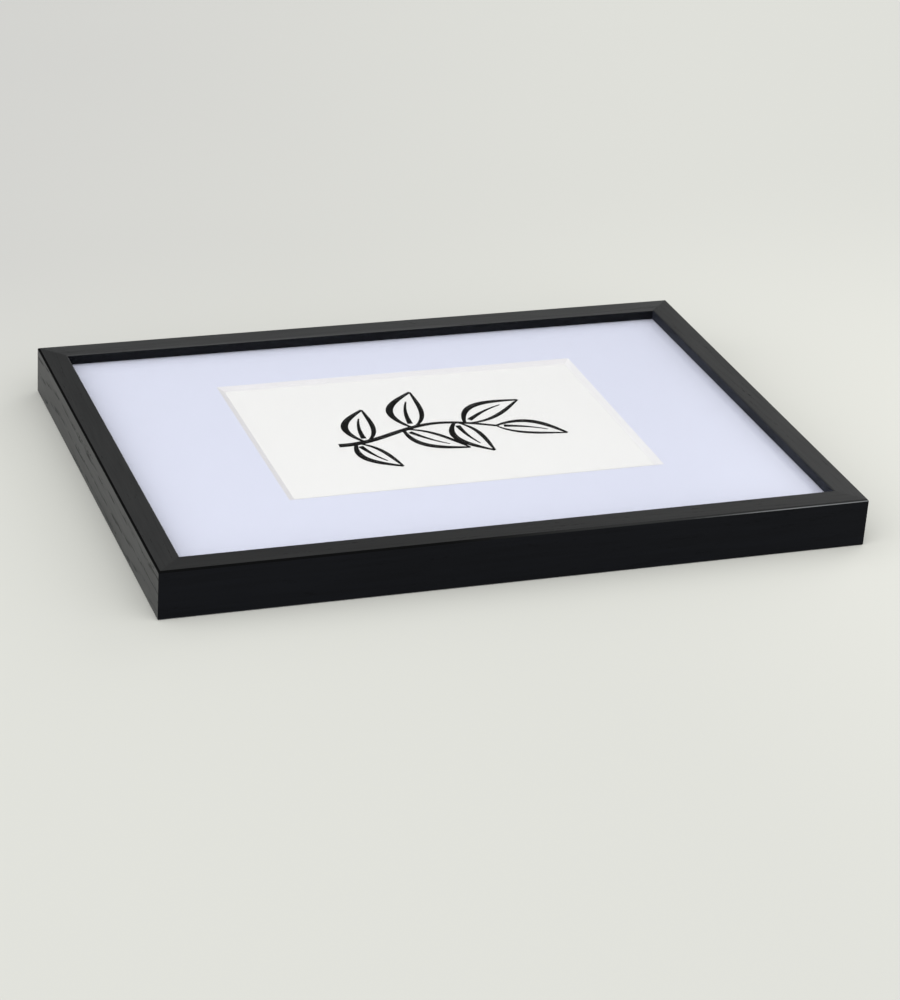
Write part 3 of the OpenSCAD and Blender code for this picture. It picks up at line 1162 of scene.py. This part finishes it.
def make_lamp(name, place, size, size_y, power, aim):
    light = bpy.data.lights.new(name, "AREA")
    light.shape = "RECTANGLE"
    light.size = size
    light.size_y = size_y
    light.energy = power
    lamp = bpy.data.objects.new(name, light)
    lamp.location = place
    lamp.rotation_euler = (Vector(aim) - Vector(place)).to_track_quat("-Z", "Y").to_euler()
    lamp.visible_camera = False
    bpy.context.scene.collection.objects.link(lamp)


# The camera of the photograph, from the fit to its straight edges
CAM_AZIMUTH = math.radians(-20.84)
CAM_ELEVATION = math.radians(26.15)
CAM_ROLL = math.radians(3.97)
CAM_DISTANCE = 1319.2 * MM
CAM_TARGET = Vector((-5.39 * MM, -34.06 * MM, 0))
FOCAL_PIXELS = 3017.9
IMAGE_LONG_SIDE = 1000
SENSOR = 36.0


def make_camera():
    flat = math.cos(CAM_ELEVATION)
    back = Vector((
        math.sin(CAM_AZIMUTH) * flat, -math.cos(CAM_AZIMUTH) * flat, math.sin(CAM_ELEVATION)
    ))
    lens = bpy.data.cameras.new("camera")
    lens.sensor_width = SENSOR
    lens.lens = FOCAL_PIXELS * SENSOR / IMAGE_LONG_SIDE
    camera = bpy.data.objects.new("camera", lens)
    level = (-back).to_track_quat("-Z", "Y").to_matrix().to_4x4()
    turn = level @ Matrix.Rotation(CAM_ROLL, 4, "Z")
    camera.matrix_world = Matrix.Translation(CAM_TARGET + back * CAM_DISTANCE) @ turn
    bpy.context.scene.collection.objects.link(camera)
    bpy.context.scene.camera = camera


# Colours of the boards, the sheet and the hardware
LAVENDER = (0.74, 0.763, 0.915)
# Mat core: greyer as painted shade on the window's left, near and far slopes, and plain on the right
# slope
CORE_PAINTED_SHADE = (0.755, 0.742, 0.77)
CORE_WHITE = (0.862, 0.853, 0.878)
SHEET_WHITE = (0.9, 0.895, 0.9)
NAIL_ZINC = (0.5, 0.51, 0.53)
BUTTON_ZINC = (0.68, 0.69, 0.7)
STRAP_ZINC = (0.66, 0.67, 0.69)
RIVET_NICKEL = (0.62, 0.62, 0.63)
RING_NICKEL = (0.72, 0.72, 0.72)

make_camera()
make_rails()
make_corner_nails(plated_steel("nail_zinc", NAIL_ZINC, rough=0.42, grain=2.0))
make_glass(clear_glass())
make_mat(
    board("mat_face", LAVENDER, speckle=0.006, tooth=0.015),
    # The greyer core, as painted shade
    board("mat_core", CORE_PAINTED_SHADE, speckle=0.02, tooth=0.05),
    board("mat_core_plain", CORE_WHITE, speckle=0.02, tooth=0.05),
)
make_sprig(printing_ink())
refinish("insert_sheet", board("insert_paper", SHEET_WHITE, speckle=0.004, tooth=0.01))
make_back_panel(fibreboard())
rivet_steel = plated_steel("rivet_nickel", RIVET_NICKEL, rough=0.3, grain=0.8)
make_buttons(plated_steel("button_zinc", BUTTON_ZINC, rough=0.34, grain=2.5), rivet_steel)
make_hangers(
    plated_steel("strap_zinc", STRAP_ZINC, rough=0.36, grain=2.5),
    plated_steel("ring_nickel", RING_NICKEL, rough=0.22, grain=1.5),
    rivet_steel,
)
make_floor()
make_world()
make_lamp("under_lamp", (0, 0, UNDER_DEPTH), FRAME_LEN, FRAME_WID, UNDER_POWER, (0, 0, 0))
bpy.context.scene.view_settings.view_transform = "Standard"
